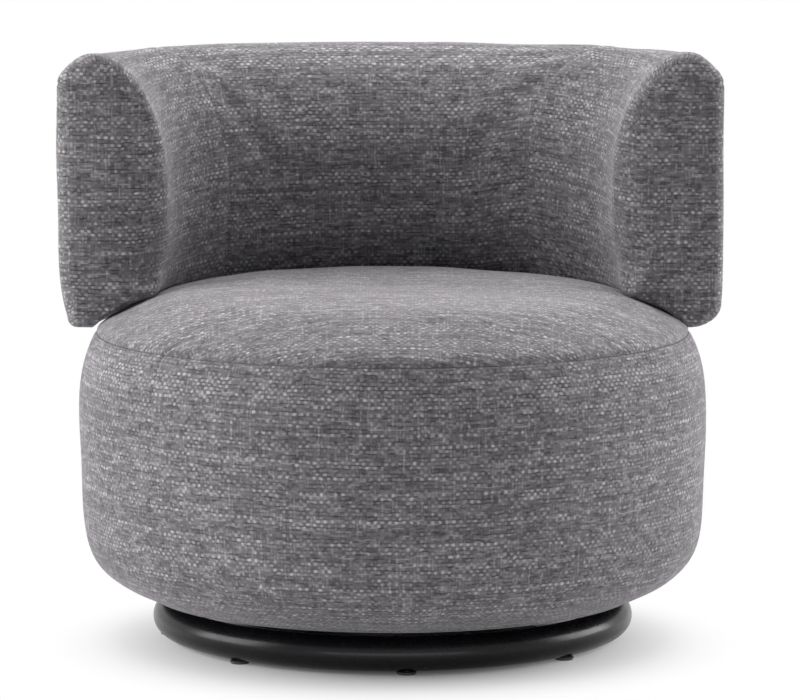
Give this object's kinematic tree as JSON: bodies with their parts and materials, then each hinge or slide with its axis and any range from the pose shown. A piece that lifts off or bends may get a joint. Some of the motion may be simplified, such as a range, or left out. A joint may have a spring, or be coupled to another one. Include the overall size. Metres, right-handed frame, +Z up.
{
  "type": "swivel armchair",
  "caption": "Round upholstered drum seat with a half-round wrap-around backrest, turning on a ball bearing over a low black ring base.",
  "frame": {"origin": "on the floor under the swivel axis, at the centre of the ring base", "axes": "+Z up along the swivel axis, -Y to the front of the seat, +X to the viewer's right when the chair is seen from the front"},
  "size_m": [0.77, 0.7339, 0.668],
  "materials": {
    "ring_paint": "satin",
    "plate_steel": "satin",
    "race_steel": "satin",
    "ball_steel": "polished",
    "cage_brass": "satin",
    "zinc": "satin",
    "glide_plastic": "matte",
    "plywood": "satin",
    "beech": "satin",
    "webbing": "matte",
    "dust_cloth": "matte",
    "foam": "matte",
    "cover_fabric": "matte"
  },
  "bodies": {
    "base": {"base_ring": "ring_paint", "base_cross": "ring_paint", "floor_glides": "glide_plastic", "swivel_lower_plate": "plate_steel", "lower_race": "race_steel", "swivel_base_bolts": "zinc", "swivel_base_nuts": "zinc"},
    "ball_cage": {"bearing_balls": "ball_steel", "ball_cage": "cage_brass"},
    "seat": {"upper_race": "race_steel", "swivel_upper_plate": "plate_steel", "swivel_top_bolts": "zinc", "swivel_tee_nuts": "zinc", "bottom_board": "plywood", "dust_cloth": "dust_cloth", "frame_posts": "beech", "frame_top_ring": "plywood", "wall_panel": "plywood", "frame_screws": "zinc", "seat_webbing": "webbing", "side_foam": "foam", "seat_foam": "foam", "drum_cover_side": "cover_fabric", "drum_cover_top": "cover_fabric", "back_brackets": "plate_steel", "bracket_bolts": "zinc", "bracket_tee_nuts": "zinc", "shell_bolts": "zinc", "shell_nuts": "zinc", "back_shell": "plywood", "back_foam_outer": "foam", "back_foam_inner": "foam", "back_cover": "cover_fabric"}
  },
  "joints": [
    {"name": "seat_swivel", "type": "hinge", "parent": "base", "child": "seat", "pos_m": [0, 0, 0.053], "axis": [0, 0, 1], "continuous": true},
    {"name": "cage_spin", "type": "hinge", "parent": "base", "child": "ball_cage", "pos_m": [0, 0, 0.04], "axis": [0, 0, 1], "continuous": true}
  ],
  "couplings": [
    {"joint": "cage_spin", "follows": "seat_swivel", "ratio": 0.5}
  ]
}
